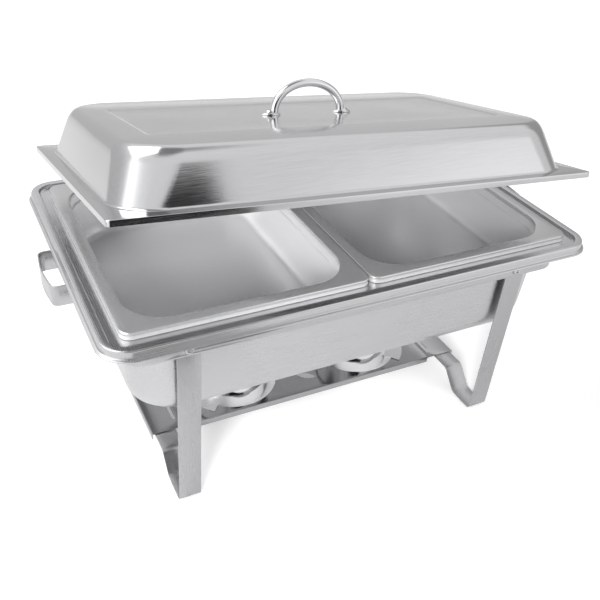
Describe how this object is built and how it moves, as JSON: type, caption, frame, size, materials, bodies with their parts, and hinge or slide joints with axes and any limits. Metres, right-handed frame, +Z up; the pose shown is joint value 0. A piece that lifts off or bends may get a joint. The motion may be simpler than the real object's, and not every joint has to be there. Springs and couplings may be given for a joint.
{
  "type": "chafing dish",
  "caption": "Folding chafing dish: strip stand with fuel shelf and cups, stepped water pan, half-size food pans and a domed lid with a top handle.",
  "frame": {"origin": "on the table, under the middle of the stand and of the food pans", "axes": "+X along the long side to the right-hand handle, +Y to the back, +Z up"},
  "size_m": [0.6132, 0.373, 0.4103],
  "materials": {
    "pan_steel": "satin",
    "strip_steel": "satin",
    "polished_steel": "polished",
    "chrome": "polished",
    "rivet_steel": "smooth"
  },
  "bodies": {
    "stand": {"stand_rail": "strip_steel", "side_handle_left": "strip_steel", "side_handle_right": "strip_steel", "handle_rivet_left_front": "rivet_steel", "handle_rivet_left_back": "rivet_steel", "handle_rivet_right_front": "rivet_steel", "handle_rivet_right_back": "rivet_steel", "leg_rivet_front_left": "rivet_steel", "leg_rivet_back_left": "rivet_steel", "leg_rivet_front_right": "rivet_steel", "leg_rivet_back_right": "rivet_steel"},
    "leg_left": {"leg_frame_left": "strip_steel"},
    "leg_right": {"leg_frame_right": "strip_steel"},
    "shelf": {"fuel_shelf": "polished_steel"},
    "cup_left": {"fuel_cup_left": "polished_steel"},
    "cup_right": {"fuel_cup_right": "polished_steel"},
    "water": {"water_pan": "pan_steel"},
    "food_right": {"food_pan_right": "pan_steel"},
    "food_left": {"food_pan_left": "pan_steel"},
    "lid": {"lid_shell": "pan_steel", "lid_handle": "chrome", "lid_screw_left": "rivet_steel", "lid_screw_right": "rivet_steel", "lid_washer_left": "rivet_steel", "lid_washer_right": "rivet_steel"}
  },
  "joints": [
    {"name": "leg_fold_left", "type": "hinge", "parent": "stand", "child": "leg_left", "pos_m": [-0.2, 0, 0.22], "axis": [0, -1, 0], "range_deg": [0, 88]},
    {"name": "leg_fold_right", "type": "hinge", "parent": "stand", "child": "leg_right", "pos_m": [0.2, 0, 0.22], "axis": [0, 1, 0], "range_deg": [0, 75]},
    {"name": "fuel_shelf_lift", "type": "slide", "parent": "stand", "child": "shelf", "axis": [0, 0, 1], "range_m": [0, 0.2625]},
    {"name": "water_pan_lift", "type": "slide", "parent": "stand", "child": "water", "axis": [0, 0, 1], "range_m": [0, 0.278]},
    {"name": "fuel_cup_left_lift", "type": "slide", "parent": "shelf", "child": "cup_left", "axis": [0, 0, 1], "range_m": [0, 0.052]},
    {"name": "fuel_cup_right_lift", "type": "slide", "parent": "shelf", "child": "cup_right", "axis": [0, 0, 1], "range_m": [0, 0.052]},
    {"name": "food_pan_right_lift", "type": "slide", "parent": "water", "child": "food_right", "axis": [0, 0, 1], "range_m": [0, 0.1]},
    {"name": "food_pan_left_lift", "type": "slide", "parent": "food_right", "child": "food_left", "axis": [0, 0, 1], "range_m": [0, 0.1]},
    {"name": "lid_tilt", "type": "hinge", "parent": "food_left", "child": "lid", "pos_m": [0.09441, 0.2742, 0.256], "axis": [-0.9455, 0.3256, 0], "range_deg": [-12.3, 48]}
  ],
  "couplings": [
    {"joint": "leg_fold_right", "follows": "leg_fold_left", "ratio": 0.85},
    {"joint": "fuel_shelf_lift", "follows": "leg_fold_left", "m_per_rad": 0.17},
    {"joint": "water_pan_lift", "follows": "leg_fold_left", "m_per_rad": 0.18}
  ]
}
